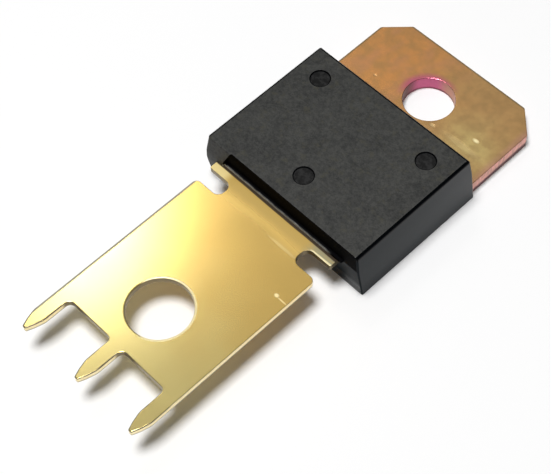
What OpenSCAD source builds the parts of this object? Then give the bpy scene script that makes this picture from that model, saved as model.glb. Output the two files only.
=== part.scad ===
// Single power rectifier diode in a flat moulded case.
// Its copper base carries the cathode tab, and a stamped anode lead leaves the other end.
// Origin: centre of the tab's hole on the seating face. +Y points out along the tab.

/* [Moulded body] */
// Width of the body at its foot, its widest line
body_width = 15.95; // [15.8:0.05:16.05]
// Length of the body from the foot of its back to the lip on its front
body_length = 12.2; // [12.1:0.05:12.3]
// Thickness from the seating face to the top
body_thickness = 4.85; // [4.75:0.05:4.95]
// Inward lean of the sides and back from the foot to the top
side_draft = 0.3; // [0.2:0.02:0.4]
// Inward lean of the front from the lead down to the foot
front_draft = 0.46; // [0.3:0.02:0.6]
// Height of the moulded lip that lies on the lead along the front face
lip_height = 0.42; // [0.2:0.02:0.5]
// Depth of that lip in front of the upper body
lip_depth = 0.24; // [0.1:0.02:0.3]
// Radius of the top edge along the sides and back
top_edge_radius = 0.34; // [0.2:0.02:0.4]
// Radius of the sharper top edge along the front
front_edge_radius = 0.06; // [0.04:0.02:0.1]
// Diameter of the round marks left by the mould's ejector pins
ejector_diameter = 1.65; // [1.2:0.05:2]
// Depth of those marks
ejector_depth = 0.09; // [0.04:0.01:0.2]
// Distance from each side to the nearer ejector marks
ejector_side_margin = 2.6; // [2:0.1:3]
// Distance from the front lip and the foot of the back to the ejector marks
ejector_end_margin = 2.6; // [2:0.05:3]

/* [Cathode base] */
// Width of the tab
tab_width = 15.3; // [14.8:0.05:15.4]
// Thickness of the tab and of the base inside the body
tab_thickness = 1.27; // [1.2:0.01:1.35]
// Length of the tab outside the body
tab_length = 8.4; // [8.2:0.05:8.6]
// Size of the 45 degree corners at the end of the tab
tab_corner = 1.85; // [1:0.05:2.2]
// Diameter of the fixing hole in the tab
tab_hole_diameter = 4.1; // [4:0.05:4.2]
// Distance from the end of the tab to the centre of its hole
tab_hole_setback = 4.5; // [4.3:0.05:4.6]
// Width of the bare copper on the underside of the body
pad_width = 13.2; // [12:0.1:13.6]
// Distance from the front face of the body to the bare copper
pad_front_margin = 1.8; // [1.5:0.1:2.6]
// Overhang of the lip that keys the base into the moulding
key_overhang = 0.5; // [0.3:0.05:0.6]
// Height of the moulding that runs under that lip
key_height = 0.5; // [0.4:0.05:0.7]

/* [Anode lead] */
// Width of the lead plate
lead_width = 12.4; // [12.2:0.05:12.4]
// Thickness of the lead plate
lead_thickness = 0.5; // [0.4:0.05:0.6]
// Height of the lead's upper face above the seating face
lead_height = 3.05; // [3:0.01:3.09]
// Diameter of the terminal hole in the lead
lead_hole_diameter = 5.05; // [4.95:0.05:5.2]
// Distance between the centres of the two holes
hole_spacing = 27.45; // [27.25:0.05:27.65]
// Length from the end of the tab to the tips of the pins
overall_length = 39.7; // [39.65:0.05:39.75]
// Distance from the body to the notches beside the neck
neck_length = 0.85; // [0.6:0.05:1.1]
// Width of the notches along the lead
notch_width = 1.55; // [1.3:0.05:1.7]
// Depth of the notches from the edges of the lead
notch_depth = 2.55; // [2:0.05:3]
// Radius of the corners in the notches
notch_radius = 0.6; // [0.3:0.05:0.64]
// Radius of the plate's corners beside the notches
plate_corner_radius = 0.45; // [0.2:0.05:0.7]

/* [Pins] */
// Number of pins across the end of the lead
pin_count = 3; // [2:1:3]
// Width of a pin
pin_width = 1.2; // [1.1:0.05:1.3]
// Length of a pin from the plate to its tip
pin_length = 3.85; // [3.5:0.05:4]
// Length of the tapered end of a pin
taper_length = 1.25; // [1:0.05:1.5]
// Length of the finer point within that taper
point_length = 0.75; // [0.5:0.05:0.9]
// Width of a pin where the finer point starts
point_width = 1; // [0.8:0.05:1.05]
// Width of a pin at its tip
tip_width = 0.6; // [0.3:0.05:0.7]
// Thickness of a pin at its tip
tip_thickness = 0.3; // [0.2:0.05:0.4]
// Radius of the corners between the pins and the plate
pin_root_radius = 0.5; // [0.2:0.05:0.8]

/* [Inside the body] */
// Side of the square silicon die
die_side = 6.4; // [6:0.1:7]
// Thickness of the die
die_thickness = 0.35; // [0.25:0.05:0.4]
// Thickness of the solder under and over the die
solder_thickness = 0.06; // [0.04:0.01:0.1]
// Margin of the lower solder beyond the die
solder_spread = 0.1; // [0.05:0.05:0.2]
// Width of the inner strap of the lead that lands on the die
strap_width = 5.2; // [4:0.1:5.6]
// Length of the strap's flat landing
strap_landing = 5.2; // [4:0.1:5.6]
// Length of the sloping part of the strap
strap_slope = 1.3; // [1:0.1:1.6]
// Length of the full-width lead inside the body
lead_anchor = 1.6; // [1.1:0.1:2.1]

/* [Hidden] */
$fn = 64;

tab_end = tab_hole_setback;
body_back = tab_end - tab_length;
body_front = body_back - body_length;
body_middle = (body_back + body_front) / 2;
pin_tips = tab_end - overall_length;
plate_end = pin_tips + pin_length;
neck_end = body_front - neck_length;
notch_end = neck_end - notch_width;
lead_underside = lead_height - lead_thickness;
die_bottom = tab_thickness + solder_thickness;
die_top = die_bottom + die_thickness;
strap_underside = die_top + solder_thickness;
strap_top = strap_underside + lead_thickness;
strap_tip = body_middle + strap_landing / 2;
strap_bend = body_middle - strap_landing / 2;
arc_steps = 6;
past = 1;

// Points of an arc that rounds a top edge, from a wall's lean to the flat top
function edge_arc(x, r, lean) =
    [for (i = [0:arc_steps]) let (a = lean + (90 - lean) * i / arc_steps)
        [x + r * cos(a), body_thickness - r + r * sin(a)]];

// A side or back of the body's section: one leaning face from the foot to the rounded top edge
function leaning_wall(half) =
    let (lean = atan2(side_draft, body_thickness), r = top_edge_radius)
    concat([[half, 0]], edge_arc(half - r / cos(lean) - (body_thickness - r) * tan(lean), r, lean));

// The front of the body's section: it leans out to the lead, then stands upright behind its lip
function lipped_wall(half) = concat(
    [[half - front_draft, 0], [half, lead_height], [half, lead_height + lip_height],
     [half - lip_depth, lead_height + lip_height]],
    edge_arc(half - lip_depth - front_edge_radius, front_edge_radius, 0));

// A wall mirrored to the other side, in the order that closes the outline
function mirrored(points) = [for (i = [len(points) - 1:-1:0]) [-points[i][0], points[i][1]]];

// A rectangle between two corners
module area(x0, x1, y0, y1) {
    translate([x0, y0]) square([x1 - x0, y1 - y0]);
}

// A block between two heights over a rectangle centred on X
module slab(width, y0, y1, z0, z1) {
    translate([0, 0, z0]) linear_extrude(z1 - z0) area(-width / 2, width / 2, y0, y1);
}

// Material left in a square corner when it is rounded, with the corner at the origin
module corner_web(r) {
    difference() {
        square(r);
        translate([r, r]) circle(r);
    }
}

module ejector_marks() {
    side = body_width / 2 - ejector_side_margin;
    places = [[-side, body_back - ejector_end_margin], [side, body_back - ejector_end_margin],
              [0, body_front + ejector_end_margin]];
    for (p = places)
        translate([p[0], p[1], body_thickness - ejector_depth])
            cylinder(d = ejector_diameter, h = ejector_depth + past);
}

module moulded_shell() {
    side = leaning_wall(body_width / 2);
    back = leaning_wall(body_length / 2);
    front = lipped_wall(body_length / 2);
    translate([0, body_middle, 0])
        intersection() {
            rotate([90, 0, 0])
                linear_extrude(body_length + past, center = true) polygon(concat(side, mirrored(side)));
            rotate([90, 0, 90])
                linear_extrude(body_width + past, center = true) polygon(concat(back, mirrored(front)));
        }
}

module base_solid() {
    difference() {
        union() {
            linear_extrude(tab_thickness)
                polygon([[-tab_width / 2, body_back], [tab_width / 2, body_back],
                         [tab_width / 2, tab_end - tab_corner], [tab_width / 2 - tab_corner, tab_end],
                         [tab_corner - tab_width / 2, tab_end], [-tab_width / 2, tab_end - tab_corner]]);
            slab(pad_width, body_front + pad_front_margin, body_back, 0, tab_thickness);
            slab(pad_width + 2 * key_overhang, body_front + pad_front_margin - key_overhang,
                 body_back, key_height, tab_thickness);
        }
        translate([0, 0, -past]) cylinder(d = tab_hole_diameter, h = tab_thickness + 2 * past);
    }
}

module notch() {
    inner = lead_width / 2 - notch_depth;
    difference() {
        area(inner, lead_width / 2 + past, notch_end, neck_end);
        translate([inner, notch_end]) corner_web(notch_radius);
        translate([inner, neck_end]) mirror([0, 1]) corner_web(notch_radius);
    }
    translate([lead_width / 2, notch_end]) rotate(180) corner_web(plate_corner_radius);
}

// Space between two neighbouring pins, rounded where it meets the plate
module pin_gap(width) {
    difference() {
        area(0, width, pin_tips - past, plate_end);
        translate([0, plate_end]) mirror([0, 1]) corner_web(pin_root_radius);
        translate([width, plate_end]) rotate(180) corner_web(pin_root_radius);
    }
}

// Space beside the tapered end of a pin, on its right
module taper_cut() {
    polygon([[tip_width / 2, pin_tips - past], [tip_width / 2, pin_tips],
             [point_width / 2, pin_tips + point_length], [pin_width / 2, pin_tips + taper_length],
             [pin_width / 2 + past, pin_tips + taper_length], [pin_width / 2 + past, pin_tips - past]]);
}

module pin_cuts() {
    pitch = (lead_width - pin_width) / (pin_count - 1);
    for (i = [0:pin_count - 1])
        translate([i * pitch - (lead_width - pin_width) / 2, 0]) {
            taper_cut();
            mirror([1, 0]) taper_cut();
            if (i < pin_count - 1) translate([pin_width / 2, 0]) pin_gap(pitch - pin_width);
        }
}

module lead_outline() {
    difference() {
        union() {
            area(-lead_width / 2, lead_width / 2, pin_tips, body_front + lead_anchor);
            area(-strap_width / 2, strap_width / 2, body_front, strap_tip);
        }
        pin_cuts();
        notch();
        mirror([1, 0]) notch();
        translate([0, -hole_spacing]) circle(d = lead_hole_diameter);
    }
}

// The lead seen from its side: coined pin tips, flat plate, then the step down to the die
module lead_profile() {
    coin = (lead_thickness - tip_thickness) / 2;
    slope_start = strap_bend - strap_slope;
    polygon([[pin_tips, lead_underside + coin], [pin_tips + taper_length, lead_underside],
             [slope_start, lead_underside], [strap_bend, strap_underside],
             [strap_tip, strap_underside], [strap_tip, strap_top], [strap_bend, strap_top],
             [slope_start, lead_height], [pin_tips + taper_length, lead_height],
             [pin_tips, lead_height - coin]]);
}

module lead_solid() {
    intersection() {
        linear_extrude(lead_height + past) lead_outline();
        rotate([90, 0, 90]) linear_extrude(lead_width + past, center = true) lead_profile();
    }
}

// A thin rectangular layer in the stack on the base
module layer(width, length, z0, z1) {
    slab(width, body_middle - length / 2, body_middle + length / 2, z0, z1);
}

module die_layer() {
    layer(die_side, die_side, die_bottom, die_top);
}

module die_solder_layer() {
    side = die_side + 2 * solder_spread;
    layer(side, side, tab_thickness, die_bottom);
}

module strap_solder_layer() {
    layer(strap_width, strap_landing, die_top, strap_underside);
}

module moulded_body() {
    color("#454442")
        difference() {
            moulded_shell();
            ejector_marks();
            base_solid();
            lead_solid();
            die_layer();
            die_solder_layer();
            strap_solder_layer();
        }
}

module cathode_base() {
    color("#b48757") base_solid();
}

module anode_lead() {
    color("#cdae60") lead_solid();
}

module silicon_die() {
    color("#5d6068") die_layer();
}

module die_solder() {
    color("#a9abae") die_solder_layer();
}

module strap_solder() {
    color("#a9abae") strap_solder_layer();
}

moulded_body();
cathode_base();
anode_lead();
silicon_die();
die_solder();
strap_solder();
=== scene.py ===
import math

import bmesh
import bpy
from mathutils import Matrix, Vector
from mathutils.geometry import tessellate_polygon


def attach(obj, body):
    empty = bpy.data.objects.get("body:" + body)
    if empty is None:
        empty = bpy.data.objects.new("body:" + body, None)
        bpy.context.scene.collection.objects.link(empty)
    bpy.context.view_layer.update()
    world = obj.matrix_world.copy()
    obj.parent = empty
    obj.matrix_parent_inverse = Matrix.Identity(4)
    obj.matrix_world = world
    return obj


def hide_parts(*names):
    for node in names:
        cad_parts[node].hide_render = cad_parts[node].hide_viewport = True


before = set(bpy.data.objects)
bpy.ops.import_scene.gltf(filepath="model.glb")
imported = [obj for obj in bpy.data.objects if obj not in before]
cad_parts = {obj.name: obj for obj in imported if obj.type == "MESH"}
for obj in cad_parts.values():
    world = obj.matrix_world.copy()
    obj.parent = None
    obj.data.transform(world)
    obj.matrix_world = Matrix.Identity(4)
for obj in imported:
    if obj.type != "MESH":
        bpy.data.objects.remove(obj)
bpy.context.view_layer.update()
mm = 0.001
scene = bpy.context.scene


# Shader maths: a wrapped socket that adds its own nodes
class Wire:
    def __init__(self, finish, socket):
        self.finish = finish
        self.socket = socket

    def maths(self, operation, *others):
        values = {i: other for i, other in enumerate((self, *others))}
        return self.finish.node("ShaderNodeMath", {"operation": operation}, values)

    def __add__(self, other):
        return self.maths("ADD", other)

    def __sub__(self, other):
        return self.maths("SUBTRACT", other)

    def __rsub__(self, other):
        return (self * -1) + other

    def __mul__(self, other):
        return self.maths("MULTIPLY", other)

    def __truediv__(self, other):
        return self.maths("DIVIDE", other)

    __radd__ = __add__
    __rmul__ = __mul__

    def size(self):
        return self.maths("ABSOLUTE")

    def root(self):
        return self.maths("SQRT")

    def least(self, other):
        return self.maths("MINIMUM", other)

    def most(self, other):
        return self.maths("MAXIMUM", other)

    def rise(self, low, high):  # 0 below low, 1 above high, smooth between them
        return self.finish.node("ShaderNodeMapRange", {"interpolation_type": "SMOOTHSTEP"},
                                {"Value": self, "From Min": low, "From Max": high})


def ovalShare(x, y, middle, half):  # 0 in an oval's middle and 1 on its edge, squared
    across = (x - middle[0]) / half[0]
    along = (y - middle[1]) / half[1]
    return across * across + along * along


def fromCircle(x, y, circle):  # how far outside a circle (x, y, radius)
    return ovalShare(x, y, circle[:2], (1, 1)).root() - circle[2]


# A node material, with the object's own coordinates in millimetres
class Finish:
    def __init__(self, name, world=None):
        self.owner = world or bpy.data.materials.new(name)
        self.owner.use_nodes = True
        self.tree = self.owner.node_tree
        self.shader = self.tree.nodes.get("Principled BSDF")

    def node(self, kind, settings=None, inputs=None, output=0):
        made = self.tree.nodes.new(kind)
        for key, value in (settings or {}).items():
            setattr(made, key, value)
        for key, value in (inputs or {}).items():
            self.feed(made.inputs[key], value)
        return Wire(self, made.outputs[output])

    def feed(self, socket, value):
        if isinstance(value, Wire):
            self.tree.links.new(value.socket, socket)
        elif socket.type == "RGBA" and len(value) == 3:
            socket.default_value = (*value, 1)
        else:
            socket.default_value = value

    def place(self):  # Object coordinates in millimetres
        metres = self.node("ShaderNodeTexCoord", output="Object")
        return self.node("ShaderNodeVectorMath", {"operation": "SCALE"}, {0: metres, "Scale": 1 / mm})

    def axes(self, place):
        return [self.node("ShaderNodeSeparateXYZ", None, {0: place}, axis) for axis in range(3)]

    def noise(self, place, scale, detail=3, rough=0.55):
        return self.node("ShaderNodeTexNoise", None,
                         {"Vector": place, "Scale": scale, "Detail": detail, "Roughness": rough})

    def streaks(self, place, scales, detail=3, rough=0.55):  # noise with its own scale on each axis
        stretched = self.node("ShaderNodeVectorMath", {"operation": "MULTIPLY"}, {0: place, 1: scales})
        return self.noise(stretched, 1, detail, rough)

    def blend(self, share, first, second):
        return self.node("ShaderNodeMix", {"data_type": "RGBA"}, {0: share, 6: first, 7: second}, 2)

    def bump(self, height, depth, strength=1.0, under=None):  # depth in millimetres
        inputs = {"Height": height, "Distance": depth * mm, "Strength": strength}
        if under:
            inputs["Normal"] = under
        return self.node("ShaderNodeBump", None, inputs)

    def surface(self, **inputs):
        names = {"colour": "Base Color", "metal": "Metallic", "rough": "Roughness", "normal": "Normal",
                 "gloss": "Specular IOR Level", "bend": "IOR"}
        for key, value in inputs.items():
            self.feed(self.shader.inputs[names[key]], value)
        return self.owner


# Camera: high up, to the right of the pins. Angles are in degrees and places in millimetres,
# and the focal length and the frame's width are in pixels.
view = {"azimuth": 48.855, "elevation": 57.863, "roll": -3.582, "distance": 109.811,
        "target": (-0.038, -16.532, 0), "focal": 1485.4, "frameWidth": 551, "sensor": 36, "clip": (0.005, 20)}


def makeCamera():
    azimuth, elevation, roll = [math.radians(view[key]) for key in ("azimuth", "elevation", "roll")]
    back = Vector((math.sin(azimuth) * math.cos(elevation), -math.cos(azimuth) * math.cos(elevation),
                   math.sin(elevation)))
    right = Vector((math.cos(azimuth), math.sin(azimuth), 0))
    up = back.cross(right)
    across = right * math.cos(roll) + up * math.sin(roll)
    upright = up * math.cos(roll) - right * math.sin(roll)
    data = bpy.data.cameras.new("camera")
    data.sensor_width = view["sensor"]
    data.lens = view["focal"] / view["frameWidth"] * view["sensor"]
    data.clip_start, data.clip_end = view["clip"]
    camera = bpy.data.objects.new("camera", data)
    turn = Matrix((across, upright, back)).transposed().to_4x4()
    camera.matrix_world = Matrix.Translation((Vector(view["target"]) + back * view["distance"]) * mm) @ turn
    scene.collection.objects.link(camera)
    scene.camera = camera


makeCamera()
print("camera placed")


def newObject(name, mesh):
    made = bpy.data.objects.new(name, mesh)
    scene.collection.objects.link(made)
    return made


def meshFrom(name, shape):
    mesh = bpy.data.meshes.new(name)
    shape.to_mesh(mesh)
    shape.free()
    return mesh


def pieceFrom(name, shape):  # an object from a shape drawn in millimetres
    bmesh.ops.scale(shape, vec=(mm, mm, mm), verts=shape.verts)
    return newObject(name, meshFrom(name, shape))


def withoutDoubles(mesh):
    shape = bmesh.new()
    shape.from_mesh(mesh)
    bmesh.ops.remove_doubles(shape, verts=shape.verts, dist=mm * 0.0005)
    return meshFrom("cleaned", shape)


def bakeModifiers(piece):
    graph = bpy.context.evaluated_depsgraph_get()
    mesh = bpy.data.meshes.new_from_object(piece.evaluated_get(graph), depsgraph=graph)
    piece.modifiers.clear()
    piece.data = mesh


def combine(piece, other, operation):
    made = piece.modifiers.new("combine", "BOOLEAN")
    made.operation = operation
    made.solver = "MANIFOLD"
    made.object = other
    bakeModifiers(piece)


def join(piece, other):
    combine(piece, other, "UNION")
    bpy.data.objects.remove(other)


def smoothMesh(mesh, angle=32):
    mesh.shade_smooth()
    mesh.set_sharp_from_angle(angle=math.radians(angle))


def keepFlat(mesh):  # a crease round every level face, so its shading stays flat
    shape = bmesh.new()
    shape.from_mesh(mesh)
    for edge in shape.edges:
        level = {face.normal.z > 0.99999 for face in edge.link_faces}
        if len(level) == 2:
            edge.smooth = False
    shape.to_mesh(mesh)
    shape.free()


def shareBetween(value, low, high):  # 0 at low, 1 at high, straight between them
    return min(max((value - low) / (high - low), 0), 1)


def readLine(height, line):  # the value at a height on a line of (height, value) points
    for (low, start), (high, end) in zip(line, line[1:]):
        if height <= high:
            return start + (end - start) * shareBetween(height, low, high)
    return line[-1][1]


# Corners (x, y, radius) in order, each rounded by an arc; runs anticlockwise for an outer edge
def roundedOutline(corners, steps=8):
    points = []
    for index, (x, y, radius) in enumerate(corners):
        corner = Vector((x, y))
        before = Vector(corners[index - 1][:2]) - corner
        after = Vector(corners[(index + 1) % len(corners)][:2]) - corner
        half = before.angle(after) / 2
        if radius == 0 or half > math.radians(89):
            points.append(corner)
            continue
        reach = radius / math.tan(half)
        start = corner + before.normalized() * reach
        end = corner + after.normalized() * reach
        middle = corner + (before.normalized() + after.normalized()).normalized() * radius / math.sin(half)
        first = start - middle
        sweep = first.angle_signed(end - middle)
        for step in range(steps + 1):
            angle = -sweep * step / steps
            turned = Vector((first.x * math.cos(angle) - first.y * math.sin(angle),
                             first.x * math.sin(angle) + first.y * math.cos(angle)))
            points.append(middle + turned)
    return points


def circleOutline(x, y, radius, steps=96):  # clockwise, so it reads as a hole
    turns = [-2 * math.pi * step / steps for step in range(steps)]
    return [Vector((x + radius * math.cos(a), y + radius * math.sin(a))) for a in turns]


# Each outline point moved into the material by the given distance
def drawnIn(points, distance, widen=None):
    moved = []
    for index, point in enumerate(points):
        before = (point - points[index - 1]).normalized()
        after = (points[(index + 1) % len(points)] - point).normalized()
        normals = [Vector((-side.y, side.x)) for side in (before, after)]
        inward = (normals[0] + normals[1]).normalized()
        share = distance / max(inward.dot(normals[0]), 0.4)  # the limit keeps sharp corners from running in
        moved.append(point + inward * share * (widen(point) if widen else 1))
    return moved


def addLoop(shape, outline, height):
    return [shape.verts.new((point.x, point.y, height)) for point in outline]


def bandFaces(shape, rows):  # quads between closed rows of vertices
    for below, above in zip(rows, rows[1:]):
        for i in range(len(below)):
            j = (i + 1) % len(below)
            shape.faces.new((below[i], below[j], above[j], above[i]))


# A flat cap of triangles between an outer loop of vertices and its holes
def capLoops(shape, loops):
    flat = [vert for loop in loops for vert in loop]
    for corners in tessellate_polygon([[vert.co for vert in loop] for loop in loops]):
        shape.faces.new([flat[i] for i in corners])


# A sheet stamped from an outline with holes; profile is (inset, height) from underside to top
def stampedSheet(loops, profile, widen=None):
    shape = bmesh.new()
    rows = []
    for inset, height in profile:
        rows.append([addLoop(shape, drawnIn(loop, inset, widen), height) for loop in loops])
    for stack in zip(*rows):
        bandFaces(shape, stack)
    for row in (rows[0], rows[-1]):
        capLoops(shape, row)
    bmesh.ops.recalc_face_normals(shape, faces=shape.faces)
    return shape


# Heights and insets of a rolled top edge and a crisp lower edge
def stampedProfile(low, high, roll, drop, lower, steps=5):
    profile = [(lower * 2, low), (lower, low), (0, low + lower)]
    for step in range(steps + 1):
        angle = math.pi / 2 * step / steps
        profile.append((roll * (1 - math.cos(angle)), high - drop * (1 - math.sin(angle))))
    return [*profile, (roll * 1.2, high)]


def arcHeights(top, radius, steps):  # of a rounded edge that ends at the top
    return [top - radius * (1 - math.sin(math.pi / 2 * step / steps)) for step in range(steps + 1)]


def arcInset(height, top, radius):
    lift = max(height - top + radius, 0)
    return radius - math.sqrt(max(radius * radius - lift * lift, 0))


# Anode lead: one stamped piece with coined pins, and a strap that steps down to the chip.
# Each piece's sizes are in millimetres, and its pairs run from left to right or along +Y.
lead = {"sides": (-6.37, 5.98), "low": 2.55, "high": 3.05, "plateEnd": -31.5, "hole": (-0.13, -27.56, 2.45),
        "pins": (-5.76, -0.16, 5.4), "pinHalf": 0.6, "shoulder": -33.8, "pointHalf": 0.38, "point": -34.6,
        "tipHalf": 0.14, "tips": -35.2, "notch": (-18.32, -16.95), "notchInner": (-4.05, 3.65), "skew": 0.14,
        "neckEnds": (-6.42, 5.92), "anchor": -14.5, "strapHalf": 2.6, "strapTip": -7.4,
        "slope": (-13.9, -12.6), "step": -0.81, "plateCut": -19.32,
        "radius": {"roots": (0.5, 0.35), "shoulder": 1.8, "point": 0.9, "tip": 0.1, "plate": 0.45,
                   "notch": 0.6, "neck": 0.12, "anchor": 0.1, "strap": 0.2},
        "roll": 0.05, "drop": 0.05, "lower": 0.02, "rimRoll": 1.2, "pinRoll": 0.8, "pinFrom": (-31.9, -32.3)}


def leadOutline():
    radius, half, end = lead["radius"], lead["pinHalf"], lead["plateEnd"]
    corners = []
    for number, x in enumerate(lead["pins"]):
        if number > 0:
            corners.append((lead["pins"][number - 1] + half, end, radius["roots"][0]))
            corners.append((x - half, end, radius["roots"][1]))
        side = [(half, lead["shoulder"], radius["shoulder"]),
                (lead["pointHalf"], lead["point"], radius["point"]),
                (lead["tipHalf"], lead["tips"], radius["tip"])]
        corners += [(x - across, y, r) for across, y, r in side]
        corners += [(x + across, y, r) for across, y, r in reversed(side)]
    low, high = lead["notch"]
    anchor, tops = lead["anchor"], (high, high + lead["skew"])
    edges = []
    for side, neck, inner, top in zip(lead["sides"], lead["neckEnds"], lead["notchInner"], tops):
        strap = math.copysign(lead["strapHalf"], side)
        edges.append([(side, low, radius["plate"]), (inner, low, radius["notch"]),
                      (inner, top, radius["notch"]), (neck, top, radius["neck"]),
                      (neck, anchor, radius["anchor"]), (strap, anchor, radius["strap"]),
                      (strap, lead["strapTip"], radius["strap"])])
    corners += edges[1] + edges[0][::-1]
    return roundedOutline(corners)


def makeLead():
    holeX, holeY, holeRadius = lead["hole"]

    def widen(point):  # a wider roll round the hole and on the pins
        atRim = abs((point - Vector((holeX, holeY))).length - holeRadius) < 0.01
        return 1 + lead["rimRoll"] * atRim + lead["pinRoll"] * shareBetween(point.y, *lead["pinFrom"])

    profile = stampedProfile(lead["low"], lead["high"], lead["roll"], lead["drop"], lead["lower"])
    shape = stampedSheet([leadOutline(), circleOutline(*lead["hole"])], profile, widen)
    bendsAndShades = (*lead["slope"], lead["shoulder"], lead["plateCut"], body["front"])
    for y in bendsAndShades:
        bmesh.ops.bisect_plane(shape, geom=[*shape.verts, *shape.edges, *shape.faces],
                               plane_co=(0, y, 0), plane_no=(0, 1, 0), dist=0.0001)
    for vert in shape.verts:
        vert.co.z += lead["step"] * shareBetween(vert.co.y, *lead["slope"])
    piece = pieceFrom("anodeLead", shape)
    smoothMesh(piece.data)
    return piece


# Cathode base: a thick stamped tab that runs under the chip, with a flange that keys into the moulding
base = {"thickness": 1.27, "tabHalf": 7.65, "padHalf": 6.6, "padFront": -14.3, "shoulder": -4.3, "end": 4.5,
        "cut": 1.85, "corner": 0.3, "hole": (0, 0, 2.05), "roll": 0.06, "drop": 0.06, "lower": 0.05,
        "keyHalf": 7.1, "keyFront": -14.8, "keyBack": -3.9, "keyHeights": (0.5, 1.26)}


def makeBase():
    half, end, cut, corner = [base[key] for key in ("tabHalf", "end", "cut", "corner")]
    side = [(base["padHalf"], base["padFront"], corner), (base["padHalf"], base["shoulder"], 0),
            (half, base["shoulder"], corner), (half, end - cut, corner), (half - cut, end, corner)]
    corners = side + [(-x, y, r) for x, y, r in reversed(side)]
    profile = stampedProfile(0, base["thickness"], base["roll"], base["drop"], base["lower"])
    sheet = stampedSheet([roundedOutline(corners), circleOutline(*base["hole"])], profile)
    piece = pieceFrom("cathodeBase", sheet)
    keyHalf, keyFront, keyBack = base["keyHalf"], base["keyFront"], base["keyBack"]
    keyCorners = [(-keyHalf, keyFront, corner), (keyHalf, keyFront, corner), (keyHalf, keyBack, 0),
                  (-keyHalf, keyBack, 0)]
    flange = stampedSheet([roundedOutline(keyCorners)], [(0, height) for height in base["keyHeights"]])
    join(piece, pieceFrom("key", flange))
    smoothMesh(piece.data)
    return piece


# Moulded body: rings of a rectangle from the seating face to the top, each side with its own section
body = {"half": 7.975, "front": -15.85, "back": -3.6, "parting": 3.05, "top": 4.85, "lean": 0.35,
        "frontLean": 0.25, "backKnee": (3.1, 0.26), "backLean": 0.52, "edge": 0.25, "frontEdge": 0.06,
        "backEdge": 0.3, "corner": 0.14, "foot": 0.02, "rim": 0.03, "levels": (1.5, 3.02, 3.08, 3.8),
        "marks": ((-5.42, -6.4), (5.33, -6.4), (-0.04, -13.48)), "markRadius": 0.82, "markDepth": 0.09,
        "markEdge": 0.02, "markTaper": 0.06, "burr": 0.03}
lip = {"left": -6.5, "right": 6.3, "front": -16.1, "back": -15.6, "low": 3.052, "high": 3.27, "edge": 0.03,
       "corner": 0.1}
block = {"back": -15.2, "edge": 0.1, "corners": (0.3, 0.08), "clear": 0.004,
         "ends": ((0, -6.3), (3.05, -5.75), (3.5, -5.7), (4.85, -5.1)),
         "front": ((0, -15.72), (0.5, -15.84), (2, -16.14), (2.6, -16.22), (3.25, -16.22), (4, -16.08),
                   (4.85, -15.96))}


def sideInset(height):
    return body["lean"] * min(height / body["top"], 1) + arcInset(height, body["top"], body["edge"])


def backInset(height):
    knee, depth = body["backKnee"]
    lower = depth * min(height / knee, 1)
    upper = (body["backLean"] - depth) * shareBetween(height, knee, body["top"] - body["backEdge"])
    return lower + upper + arcInset(height, body["top"], body["backEdge"])


def frontInset(height):
    lean = body["frontLean"] * max(1 - height / body["parting"], 0)
    return lean + arcInset(height, body["top"], body["frontEdge"])


def bodyRings(shape):
    top, foot = body["top"], body["foot"]
    heights = {foot, *body["levels"]}
    for radius, steps in ((body["edge"], 9), (body["backEdge"], 9), (body["frontEdge"], 4)):
        heights.update(arcHeights(top, radius, steps))
    rings = []
    for height, bevel in ((0, foot), *((height, 0) for height in sorted(heights)), (top, body["rim"])):
        right = body["half"] - sideInset(height) - bevel
        low = body["front"] + frontInset(height) + bevel
        high = body["back"] - backInset(height) - bevel
        corners = [(-right, low), (right, low), (right, high), (-right, high)]
        outline = roundedOutline([(*corner, body["corner"]) for corner in corners], 4)
        rings.append(addLoop(shape, outline, height))
    return rings


# The flat top, with a round sunk mark at each place where the mould's pins pushed
def bodyTop(shape, rim):
    top, depth, edge, taper = [body[key] for key in ("top", "markDepth", "markEdge", "markTaper")]
    holes = []
    for x, y in body["marks"]:
        rows = []
        for inset, sunk in ((0, 0), (edge, edge), (taper / 2, depth - edge), (taper, depth)):
            rows.append(addLoop(shape, circleOutline(x, y, body["markRadius"] - inset, 72), top - sunk))
        bandFaces(shape, rows)
        shape.faces.new(rows[-1])
        holes.append(rows[0])
    capLoops(shape, [rim, *holes])


# Lip of compound that lies on the lead in front of the body
def makeLip():
    left, right, low, high, edge = [lip[key] for key in ("left", "right", "low", "high", "edge")]
    corners = [(left, lip["front"], lip["corner"]), (right, lip["front"], lip["corner"]),
               (right, lip["back"], 0), (left, lip["back"], 0)]
    profile = [(0, low), (0, high - edge), (edge * 0.3, high - edge * 0.3), (edge, high)]
    return pieceFrom("lip", stampedSheet([roundedOutline(corners)], profile))


# Front left corner, which stands proud of the sunk band beside it
def makeBlock():
    shape = bmesh.new()
    top, edge, (leftCorner, rightCorner) = body["top"] - block["clear"], block["edge"], block["corners"]
    heights = {body["foot"] + 0.01, *arcHeights(top, edge, 8)}
    heights.update(height for line in (block["front"], block["ends"]) for height, value in line[1:-1])
    rows = []
    for height in sorted(heights):
        left, right = sideInset(height) - body["half"] + block["clear"], readLine(height, block["ends"])
        front = readLine(height, block["front"]) + arcInset(height, top, edge)
        corners = [(left, front, leftCorner), (right, front, rightCorner), (right, block["back"], 0),
                   (left, block["back"], 0)]
        rows.append(addLoop(shape, roundedOutline(corners), height))
    bandFaces(shape, rows)
    for row in (rows[0], rows[-1]):
        capLoops(shape, [row])
    bmesh.ops.recalc_face_normals(shape, faces=shape.faces)
    return pieceFrom("block", shape)


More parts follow.
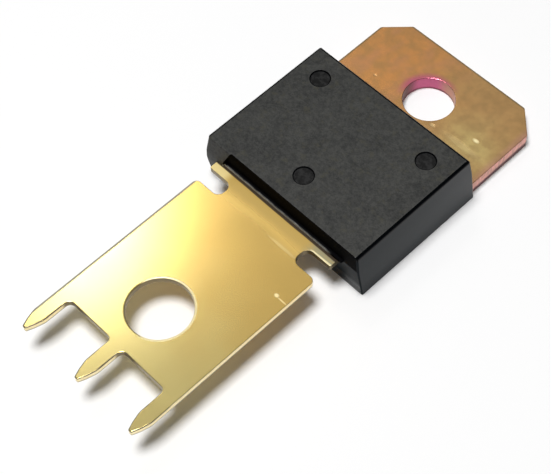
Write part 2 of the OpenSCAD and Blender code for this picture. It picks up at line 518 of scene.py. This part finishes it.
def makeBody(cutters):
    shape = bmesh.new()
    rings = bodyRings(shape)
    bandFaces(shape, rings)
    shape.faces.new(list(reversed(rings[0])))
    bodyTop(shape, rings[-1])
    bmesh.ops.recalc_face_normals(shape, faces=shape.faces)
    piece = pieceFrom("mouldedBody", shape)
    join(piece, makeLip())
    join(piece, makeBlock())
    for cutter in cutters:
        combine(piece, cutter, "DIFFERENCE")
    smoothMesh(piece.data)
    keepFlat(piece.data)
    return piece


# Thin rings round the sunk marks, placed by one tree: it sets a copy of a turned ring on every mark
def markTree(material):
    tree = bpy.data.node_groups.new("ejectorMarks", "GeometryNodeTree")
    tree.interface.new_socket("Geometry", in_out="INPUT", socket_type="NodeSocketGeometry")
    sockets = {name: tree.interface.new_socket(name, in_out="INPUT", socket_type="NodeSocketFloat")
               for name in ("Radius", "Burr")}
    tree.interface.new_socket("Geometry", in_out="OUTPUT", socket_type="NodeSocketGeometry")

    def add(kind, inputs):
        made = tree.nodes.new(kind)
        for name, value in inputs.items():
            if isinstance(value, bpy.types.NodeSocket):
                tree.links.new(value, made.inputs[name])
            else:
                made.inputs[name].default_value = value
        return made.outputs

    entry = add("NodeGroupInput", {})
    ring = add("GeometryNodeCurvePrimitiveCircle", {"Resolution": 72, "Radius": entry["Radius"]})
    bead = add("GeometryNodeCurvePrimitiveCircle", {"Resolution": 10, "Radius": entry["Burr"]})
    burr = add("GeometryNodeCurveToMesh", {"Curve": ring["Curve"], "Profile Curve": bead["Curve"]})
    copies = add("GeometryNodeInstanceOnPoints", {"Points": entry["Geometry"], "Instance": burr["Mesh"]})
    real = add("GeometryNodeRealizeInstances", {"Geometry": copies["Instances"]})
    paint = add("GeometryNodeSetMaterial", {"Geometry": real["Geometry"], "Material": material})
    add("NodeGroupOutput", {"Geometry": paint["Geometry"]})
    return tree, sockets


def makeRings(material):
    tree, sockets = markTree(material)
    height = body["top"] - body["markDepth"]
    points = bpy.data.meshes.new("ejectorRings")
    points.from_pydata([(x * mm, y * mm, height * mm) for x, y in body["marks"]], [], [])
    piece = newObject("ejectorRings", points)
    made = piece.modifiers.new("marks", "NODES")
    made.node_group = tree
    made[sockets["Radius"].identifier] = (body["markRadius"] - body["markTaper"]) * mm
    made[sockets["Burr"].identifier] = body["burr"] * mm
    bakeModifiers(piece)
    smoothMesh(piece.data)
    return piece


# Moulding compound: grained charcoal on top, glossy black where the mould was polished
epoxy = {"dark": (0.008, 0.0085, 0.008), "light": (0.046, 0.0465, 0.042), "tint": (0.04, 0.038, 0.024),
         "topRough": 0.56, "topBend": 1.42,
         "black": (0.003, 0.006, 0.008), "edgeDarkReflection": (0.0015, 0.002, 0.0025), "edgeDarkReflectionFrom": (4.38, 4.54),
         "smoothRough": 0.12, "smoothBend": 1.2, "frontBend": 1.1,
         "markDark": (0.004, 0.004, 0.004), "markLight": (0.018, 0.018, 0.018), "markBend": 1.25,
         "bandShade": (0.0015, 0.0015, 0.002), "ledge": (0.5, 0.5, 0.47), "ledgeTop": (3.24, 3.32),
         "ledgeBack": (-16.06, -16.0), "ledgeEnd": (4.6, 5.4), "bandBend": 1.1}


def epoxyTopFinish():
    finish = Finish("epoxyTop")
    place = finish.place()
    cloud = finish.noise(place, 0.7, 3)
    speckle = finish.noise(place, 3.6, 5, 0.78).rise(0.32, 0.68)
    colour = finish.blend(speckle * 0.75 + cloud.rise(0.35, 0.65) * 0.25, epoxy["dark"], epoxy["light"])
    warmth = finish.noise(place, 1.6, 4, 0.7).rise(0.52, 0.7)
    colour = finish.blend(warmth * 0.7, colour, epoxy["tint"])
    normal = finish.bump(finish.noise(place, 5, 4, 0.7), 0.03, 0.7)
    return finish.surface(colour=colour, rough=epoxy["topRough"] + cloud * 0.08, normal=normal,
                          bend=epoxy["topBend"])


# The polished sides and front, darker along the top edge: a painted dark reflection of the room there
def epoxySmoothFinish(name, bend):
    finish = Finish(name)
    place = finish.place()
    x, y, z = finish.axes(place)
    cloud = finish.noise(place, 1.2, 3)
    colour = finish.blend(cloud, epoxy["black"], [level * 2 for level in epoxy["black"]])
    # painted dark reflection along the top edge
    colour = finish.blend(z.rise(*epoxy["edgeDarkReflectionFrom"]), colour, epoxy["edgeDarkReflection"])
    normal = finish.bump(finish.noise(place, 5, 3, 0.6), 0.004, 0.4)
    return finish.surface(colour=colour, rough=epoxy["smoothRough"] + cloud * 0.08, normal=normal, bend=bend)


# The sunk band above the lead: dull, painted near-black as shade, with the ledge under it painted pale as a
# highlight
def epoxyBandFinish():
    finish = Finish("epoxyBand")
    place = finish.place()
    x, y, z = finish.axes(place)
    cloud = finish.noise(place, 1.2, 3)
    # painted highlight: the ledge turned pale grey; painted shade: the band above it near-black
    below = 1 - (z + cloud * 0.06).rise(*epoxy["ledgeTop"])
    onLedge = below * (1 - y.rise(*epoxy["ledgeBack"])) * (1 - x.rise(*epoxy["ledgeEnd"]))
    colour = finish.blend(onLedge, epoxy["bandShade"], epoxy["ledge"])
    normal = finish.bump(finish.noise(place, 5, 3, 0.6), 0.01, 0.4)
    return finish.surface(colour=colour, rough=0.6 + cloud * 0.1, normal=normal, bend=epoxy["bandBend"])


# Floors of the ejector marks: dark, with greyer and rougher patches
def epoxyMarkFinish():
    finish = Finish("epoxyMark")
    place = finish.place()
    patch = finish.noise(place, 2.2, 3, 0.6).rise(0.42, 0.62)
    colour = finish.blend(patch, epoxy["markDark"], epoxy["markLight"])
    normal = finish.bump(finish.noise(place, 3, 3, 0.6), 0.03, 0.6)
    return finish.surface(colour=colour, rough=0.5 + patch * 0.1, normal=normal, bend=epoxy["markBend"])


# Copper: orange at one side, duller and yellower at the other with a painted yellow highlight, and a pink
# tarnish round the hole and edges.
# A dent is its middle, its half sizes and its strength.
copper = {"orange": (1.0, 0.47, 0.155), "dull": (0.84, 0.5, 0.2), "yellow": (1.0, 0.76, 0.3),
          "pink": (0.86, 0.42, 0.36), "stain": (0.56, 0.34, 0.14), "blush": (0.86, 0.42, 0.22),
          "rim": (0.84, 0.22, 0.3), "line": (0.34, 0.24, 0.12), "bare": (1.0, 0.88, 0.5),
          "edge": (0.56, 0.31, 0.25), "shade": (0.12, 0.04, 0.05),
          "wall": (0.56, 0.13, 0.25), "wallShadeLeft": (0.16, 0.06, 0.05), "wallRight": (0.5, 0.26, 0.18),
          "metal": 0.8, "faceRough": 0.2, "edgeRough": 0.4, "grain": (6, 0.5, 6),
          "turnsDull": (-3.5, 3.5), "highlightSpot": (5.2, -1.2, 0), "highlightReach": (0.4, 3.9),
          "blushEnd": (-2, 3), "haloSide": (0.4, 2.4), "lineSide": (-3.4, -2.6),
          "wallTurns": ((-2.4, -0.8), (0.9, 2.4)),
          "dents": (((5.21, -0.44), (0.3, 0.17), 0.9), ((1.85, -1.65), (0.25, 0.17), 0.3),
                    ((-4.61, -1.2), (0.2, 0.12), 0.15), ((4.7, -1.55), (2.0, 0.34), 0.12))}


def copperGrain(finish, place):  # fine rolling lines, and a bump made of them and a soft ripple
    lines = finish.streaks(place, copper["grain"])
    normal = finish.bump(lines, 0.002, 0.5)
    return lines, finish.bump(finish.noise(place, 4, 3), 0.002, 0.5, normal)


def copperEdgeFinish():
    finish = Finish("copperEdge")
    place = finish.place()
    x, y, z = finish.axes(place)
    cloud = finish.noise(place, 0.3, 3)
    lines, normal = copperGrain(finish, place)
    outside = fromCircle(x, y, base["hole"]).rise(0.1, 0.4)
    leftTurn, rightTurn = copper["wallTurns"]
    # the hole's wall is painted darker at its left as shade, and browner at its right
    wall = finish.blend((x + y).rise(*leftTurn), copper["wallShadeLeft"], copper["wall"])
    wall = finish.blend((x + y).rise(*rightTurn), wall, copper["wallRight"])
    colour = finish.blend(outside, wall, copper["edge"])
    streak = finish.streaks(place, (5, 5, 1.5), 2).rise(0.35, 0.7)
    colour = finish.blend(streak * outside, colour, copper["pink"])
    lift = z + cloud * 0.3 + (1 - outside) * 0.28
    colour = finish.blend(lift.rise(0.45, 0.75), copper["shade"], colour)
    return finish.surface(colour=colour, metal=copper["metal"], rough=copper["edgeRough"] + lines * 0.08,
                          normal=normal)


def copperFaceFinish():
    finish = Finish("copperFace")
    place = finish.place()
    x, y, z = finish.axes(place)
    cloud = finish.noise(place, 0.3, 3)
    drift = cloud * 6 - 3
    lines, normal = copperGrain(finish, place)
    colour = finish.blend((x + drift).rise(*copper["turnsDull"]), copper["orange"], copper["dull"])
    # a painted yellow highlight round one spot
    fromHighlight = fromCircle(x, y, copper["highlightSpot"]) + drift * 0.6
    colour = finish.blend(fromHighlight.rise(*copper["highlightReach"]), copper["yellow"], colour)
    nearEdge = 1 - (base["tabHalf"] - x + cloud * 0.4).rise(0.2, 0.9)
    colour = finish.blend(nearEdge * 0.6, colour, copper["pink"])
    mottle = finish.noise(place, 1.1, 4, 0.6).rise(0.3, 0.7)
    colour = finish.blend(mottle * 0.55, colour, copper["stain"])
    blush = finish.streaks(place, (0.9, 0.35, 0.9), 3, 0.6).rise(0.45, 0.65)
    colour = finish.blend(blush * (1 - x.rise(*copper["blushEnd"])) * 0.4, colour, copper["blush"])
    fromHole = fromCircle(x, y, base["hole"]) + cloud * 0.8 - 0.4
    halo = (1 - fromHole.rise(0.0, 0.7)) * (y - x).rise(*copper["haloSide"])
    colour = finish.blend(halo, colour, copper["rim"])
    # a painted dark line along the far edges, standing in for their dark reflection
    fromSide = (base["tabHalf"] - x.size()).least(base["end"] - y)
    shadedFarEdge = (1 - fromSide.rise(0.09, 0.22)) * (y - x).rise(*copper["lineSide"])
    colour = finish.blend(shadedFarEdge * 0.85, colour, copper["line"])
    pale = 0
    for middle, half, level in copper["dents"]:
        dent = 1 - ovalShare(x, y, middle, half).root().rise(0.3, 1.3)
        colour = finish.blend(dent * level, colour, copper["bare"])
        normal = finish.bump(dent * -1, 0.02, 0.6, normal)
        pale = dent * level + pale
    return finish.surface(colour=colour, metal=(1 - pale * 0.9) * copper["metal"],
                          rough=copper["faceRough"] + lines * 0.08, normal=normal)


# Lead alloy: yellow, smooth and satin, paler towards the pins, and duller and darker on the neck. Its sheared
# sides are painted cream as a highlight, with painted shade below them. A mark is its middle, its half sizes
# and its strength.
alloy = {"gold": (0.98, 0.66, 0.19), "pale": (0.82, 0.67, 0.26), "turnsPale": (20, 32),
         "edge": (1.0, 0.86, 0.55), "shade": (0.2, 0.16, 0.09), "line": (0.12, 0.1, 0.06),
         "rim": (0.85, 0.74, 0.42), "ring": (0.42, 0.34, 0.1), "plateEdgeShade": (0.3, 0.28, 0.22),
         "neck": (0.54, 0.36, 0.09), "neckLeftHighlight": (0.8, 0.64, 0.27), "neckRightShade": (0.33, 0.31, 0.19),
         "contactShade": (0.04, 0.025, 0.012), "metal": 0.8, "faceRough": 0.12, "edgeRough": 0.27,
         "neckFrom": (-18.8, -16.8), "leftTo": (-5.2, -4.4), "rightFrom": (3.2, 4.4),
         "contactShadeFrom": (-16.31, -16.22), "litFrom": (3.8, 4.3), "litTo": (-16.85, -16.78),
         "ringSide": (-2.3, -1.3), "lineTo": (-18.6, -18.2), "pinsTo": (-32.3, -31.9),
         "shadeFrom": (4.6, 5.2), "shadeTo": (-18.5, -18.3), "shadeHeight": (2.61, 2.73),
         "marks": (((4.91, -21.09), (0.22, 0.18), 0.8), ((5.5, -21.15), (0.6, 0.07), 0.5),
                   ((2.4, -18.05), (1.7, 0.14), 0.3))}


def alloyTone(finish, y, cloud):
    return finish.blend((cloud * 5 - 2.5 - y).rise(*alloy["turnsPale"]), alloy["gold"], alloy["pale"])


def alloyBump(finish, place):
    return finish.bump(finish.streaks(place, (2.5, 0.25, 2.5)), 0.0003, 0.5)


def alloyEdgeFinish():
    finish = Finish("alloyEdge")
    place = finish.place()
    x, y, z = finish.axes(place)
    cloud = finish.noise(place, 0.3, 3)
    streak = finish.streaks(place, (6, 6, 1.5), 2).rise(0.3, 0.7)
    # painted highlight: the sheared sides turned cream
    colour = finish.blend(streak * 0.5 + 0.5, alloyTone(finish, y, cloud), alloy["edge"])
    onPlate = x.rise(*alloy["shadeFrom"]) * (1 - y.rise(*alloy["shadeTo"]))
    onPins = 1 - y.rise(*alloy["pinsTo"])
    above = (z + cloud * 0.04).rise(*alloy["shadeHeight"])
    colour = finish.blend(onPlate.most(onPins) * above, alloy["shade"], colour)
    # a painted dark line along the top of the pins' sides
    colour = finish.blend(onPins * z.rise(2.97, 3.01), colour, alloy["line"])
    return finish.surface(colour=colour, metal=alloy["metal"], rough=alloy["edgeRough"] + cloud * 0.05,
                          normal=alloyBump(finish, place))


def alloyFaceFinish():
    finish = Finish("alloyFace")
    place = finish.place()
    x, y, z = finish.axes(place)
    cloud = finish.noise(place, 0.3, 3)
    waver = cloud * 0.06
    onNeck = (y + cloud * 0.8 - 0.4).rise(*alloy["neckFrom"])
    onNeck = onNeck * onNeck
    colour = finish.blend(onNeck, alloyTone(finish, y, cloud), alloy["neck"])
    # painted shade in streaks on the neck's right part, and a painted highlight on its left end
    shadeStreaks = finish.streaks(place, (0.5, 8, 4)).rise(0.35, 0.6) * 0.5 + 0.5
    colour = finish.blend(x.rise(*alloy["rightFrom"]) * onNeck * shadeStreaks, colour, alloy["neckRightShade"])
    colour = finish.blend((1 - x.rise(*alloy["leftTo"])) * onNeck, colour, alloy["neckLeftHighlight"])
    # painted contact shadow on the lead where it meets the body
    colour = finish.blend((y + cloud * 0.1).rise(*alloy["contactShadeFrom"]), colour, alloy["contactShade"])
    # a painted highlight along the neck's right edge
    lit = x.rise(*alloy["litFrom"]) * (1 - (y - x * 0.03).rise(*alloy["litTo"]))
    colour = finish.blend(lit * onNeck, colour, alloy["rim"])
    holeX, holeY = lead["hole"][:2]
    fromHole = fromCircle(x, y, lead["hole"]) + waver
    litSide = (x + y - (holeX + holeY)).rise(*alloy["ringSide"])
    # painted highlight on one side of the hole's rim, painted shade on the other
    litRing = (1 - fromHole.rise(0.12, 0.24)) * litSide
    shadedRing = (1 - fromHole.rise(0.03, 0.1)) * (1 - litSide)
    # a painted dark line along the plate's left edge, as shade on its rolled edge
    shadedLeftEdge = (1 - (x - lead["sides"][0] + waver).rise(0.14, 0.24)) * (1 - y.rise(*alloy["lineTo"]))
    colour = finish.blend(litRing, colour, alloy["rim"])
    colour = finish.blend(shadedRing, colour, alloy["ring"])
    colour = finish.blend(shadedLeftEdge, colour, alloy["plateEdgeShade"])
    dull = onNeck.most(litRing * 0.9).most(shadedLeftEdge)
    for middle, half, level in alloy["marks"]:
        mark = (1 - ovalShare(x, y, middle, half).root().rise(0.4, 1.2)) * level
        colour = finish.blend(mark, colour, alloy["rim"])
        dull = dull.most(mark)
    return finish.surface(colour=colour, metal=(1 - dull * 0.85) * (1 - shadedLeftEdge) * alloy["metal"],
                          rough=alloy["faceRough"] + cloud * 0.05 + dull * 0.2 + shadedLeftEdge * 0.4,
                          normal=alloyBump(finish, place))


# Chip and solder, sealed in the moulding
inside = {"chip": ((0.1, 0.11, 0.13), (0.16, 0.17, 0.2)), "chipRough": 0.2,
          "solder": ((0.42, 0.42, 0.43), (0.6, 0.6, 0.6)), "solderRough": 0.45}


def chipFinish():
    finish = Finish("silicon")
    place = finish.place()
    colour = finish.blend(finish.noise(place, 2, 3), *inside["chip"])
    return finish.surface(colour=colour, rough=inside["chipRough"] + finish.noise(place, 5, 2) * 0.1,
                          normal=finish.bump(finish.noise(place, 20, 2), 0.002))


def solderFinish():
    finish = Finish("solder")
    place = finish.place()
    colour = finish.blend(finish.noise(place, 3, 3), *inside["solder"])
    rough = inside["solderRough"] + finish.noise(place, 6, 2) * 0.15
    return finish.surface(colour=colour, metal=1.0, rough=rough,
                          normal=finish.bump(finish.noise(place, 8, 3), 0.01))


epoxyTop = epoxyTopFinish()
epoxyMark = epoxyMarkFinish()
epoxySmooth = epoxySmoothFinish("epoxySmooth", epoxy["smoothBend"])
epoxyFront = epoxySmoothFinish("epoxyFront", epoxy["frontBend"])
epoxyBand = epoxyBandFinish()
copperFace = copperFaceFinish()
copperEdge = copperEdgeFinish()
alloyFace = alloyFaceFinish()
alloyEdge = alloyEdgeFinish()
silicon = chipFinish()
solder = solderFinish()
print("materials made")

insideFinishes = {"silicon_die": silicon, "die_solder": solder, "strap_solder": solder}
leadPiece = makeLead()
basePiece = makeBase()
hidden = [newObject("cut_" + node, withoutDoubles(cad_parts[node].data)) for node in insideFinishes]
bodyPiece = makeBody([leadPiece, basePiece, *hidden])
for cutter in hidden:
    bpy.data.objects.remove(cutter)
rings = makeRings(epoxySmooth)
print("pieces made")

# Which faces take which finish, by a face's middle in millimetres and its normal
facing = {"flat": 0.995, "level": 0.97, "ledge": 0.9, "rolled": 0.7, "upright": 0.5, "blockFront": 0.1}
band = {"left": -5.9, "right": 7.4, "back": -15.3, "step": 4, "top": 4.83,
        "blockRight": -5.2, "blockLow": 0.5}


def anywhere(place, normal):
    return True


def onLeadFace(place, normal):  # the flat faces, and the rolled edges where they aren't on a pin
    onPin = place.y <= lead["pinFrom"][0]
    return abs(normal.z) > (facing["flat"] if onPin else facing["rolled"])


def onBaseFace(place, normal):
    return abs(normal.z) > facing["rolled"]


def onMarkFloor(place, normal):
    return normal.z > facing["level"] and abs(place.z - body["top"] + body["markDepth"]) < 0.01


def inBand(place, normal):  # its wall, the ledge under it and the end where the corner stands proud
    onLedge = normal.z > facing["ledge"] and place.z < band["step"]
    turned = normal.y < -facing["upright"] or normal.x > facing["upright"] or onLedge
    within = band["left"] < place.x < band["right"] and place.y < band["back"]
    return turned and within and body["parting"] < place.z < band["top"]


def onGrainAndLitCorner(place, normal):  # the top, and the front of the proud corner, which takes the top's paler grain as painted light
    onBlock = place.x < band["blockRight"] and place.y < band["back"] and place.z > band["blockLow"]
    return normal.z > facing["level"] or (onBlock and normal.y < -facing["blockFront"])


def onFront(place, normal):
    return normal.y < -facing["upright"]


def paintFaces(piece, *rules):  # the first rule that holds names the face's material
    piece.data.materials.clear()
    for material, _ in rules:
        piece.data.materials.append(material)
    for face in piece.data.polygons:
        place = face.center / mm
        face.material_index = next(i for i, (_, holds) in enumerate(rules) if holds(place, face.normal))


paintFaces(leadPiece, (alloyFace, onLeadFace), (alloyEdge, anywhere))
paintFaces(basePiece, (copperFace, onBaseFace), (copperEdge, anywhere))
paintFaces(bodyPiece, (epoxyMark, onMarkFloor), (epoxyBand, inBand), (epoxyTop, onGrainAndLitCorner),
           (epoxyFront, onFront), (epoxySmooth, anywhere))
for node, material in insideFinishes.items():
    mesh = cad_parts[node].data
    mesh.materials.clear()
    mesh.materials.append(material)

for piece, node, slot in ((bodyPiece, "moulded_body", "moulding_compound"),
                          (basePiece, "cathode_base", "bare_copper"),
                          (leadPiece, "anode_lead", "lead_alloy")):
    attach(piece, "root")
    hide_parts(node)
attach(rings, "root")
print("pieces set in the frame")

# Studio: white floor, a soft lamp overhead, and a dark room with one pale side and a small glare in it.
# Sizes are in metres.
studio = {"floorColour": (0.92, 0.92, 0.92), "floorGlow": 0.045, "floorSize": 3.0, "floorDrop": 0.00002,
          "dark": 0.035, "pale": 0.3, "paleSide": (-0.38, 0.32, 0.87), "paleReach": (0.8, 0.97),
          "glare": (-0.484, 0.265), "glareReach": (0.0218, 0.0503), "glareLevel": 14.0,
          "haloLevel": 0.38, "haloReach": 2.6}
lamp = {"from": (-0.06, -0.12, 0.99), "aim": (0, -0.015, 0), "reach": 0.4, "across": 0.14, "power": 1.53}


def seenRays(finish):
    kinds = [finish.node("ShaderNodeLightPath", output=name)
             for name in ("Is Camera Ray", "Is Glossy Ray", "Is Transmission Ray")]
    return kinds[0].most(kinds[1]).most(kinds[2])


def makeFloor():
    finish = Finish("floorFinish")
    finish.surface(colour=studio["floorColour"], rough=0.9, gloss=0.0)
    finish.feed(finish.shader.inputs["Emission Color"], (1, 1, 1))
    finish.feed(finish.shader.inputs["Emission Strength"], seenRays(finish) * studio["floorGlow"])
    half, height = studio["floorSize"] / 2, -studio["floorDrop"]
    corners = [(-half, -half, height), (half, -half, height), (half, half, height), (-half, half, height)]
    mesh = bpy.data.meshes.new("floor")
    mesh.from_pydata(corners, [], [(0, 1, 2, 3)])
    mesh.materials.append(finish.owner)
    newObject("floor", mesh)


def makeRoom():
    world = bpy.data.worlds.new("room")
    scene.world = world
    finish = Finish("room", world)
    direction = finish.node("ShaderNodeTexCoord", output="Generated")
    x, y, z = finish.axes(direction)
    pale = Vector(studio["paleSide"]).normalized()
    toPale = finish.node("ShaderNodeVectorMath", {"operation": "DOT_PRODUCT"}, {0: direction, 1: pale},
                         "Value")
    level = toPale.rise(*studio["paleReach"]) * (studio["pale"] - studio["dark"]) + studio["dark"]
    away = ovalShare(x, y, studio["glare"], studio["glareReach"])
    glare = (away * -1).maths("EXPONENT") * studio["glareLevel"]
    halo = (away * (-1 / studio["haloReach"] ** 2)).maths("EXPONENT") * studio["haloLevel"]
    level = level + (glare + halo) * z.rise(0.0, 0.2)
    direct = finish.node("ShaderNodeLightPath", output="Is Camera Ray")
    level = direct + (1 - direct) * level
    background = finish.tree.nodes["Background"]
    finish.feed(background.inputs["Color"], (1, 1, 1))
    finish.feed(background.inputs["Strength"], level)


def makeLamp():
    data = bpy.data.lights.new("overhead", "AREA")
    data.shape = "DISK"
    data.size = lamp["across"]
    data.energy = lamp["power"]
    made = newObject("overhead", data)
    away = Vector(lamp["from"]).normalized()
    made.location = Vector(lamp["aim"]) + away * lamp["reach"]
    made.rotation_mode = "QUATERNION"
    made.rotation_quaternion = (-away).to_track_quat("-Z", "Y")


makeFloor()
makeRoom()
makeLamp()
scene.view_settings.view_transform = "Standard"
print("studio set")
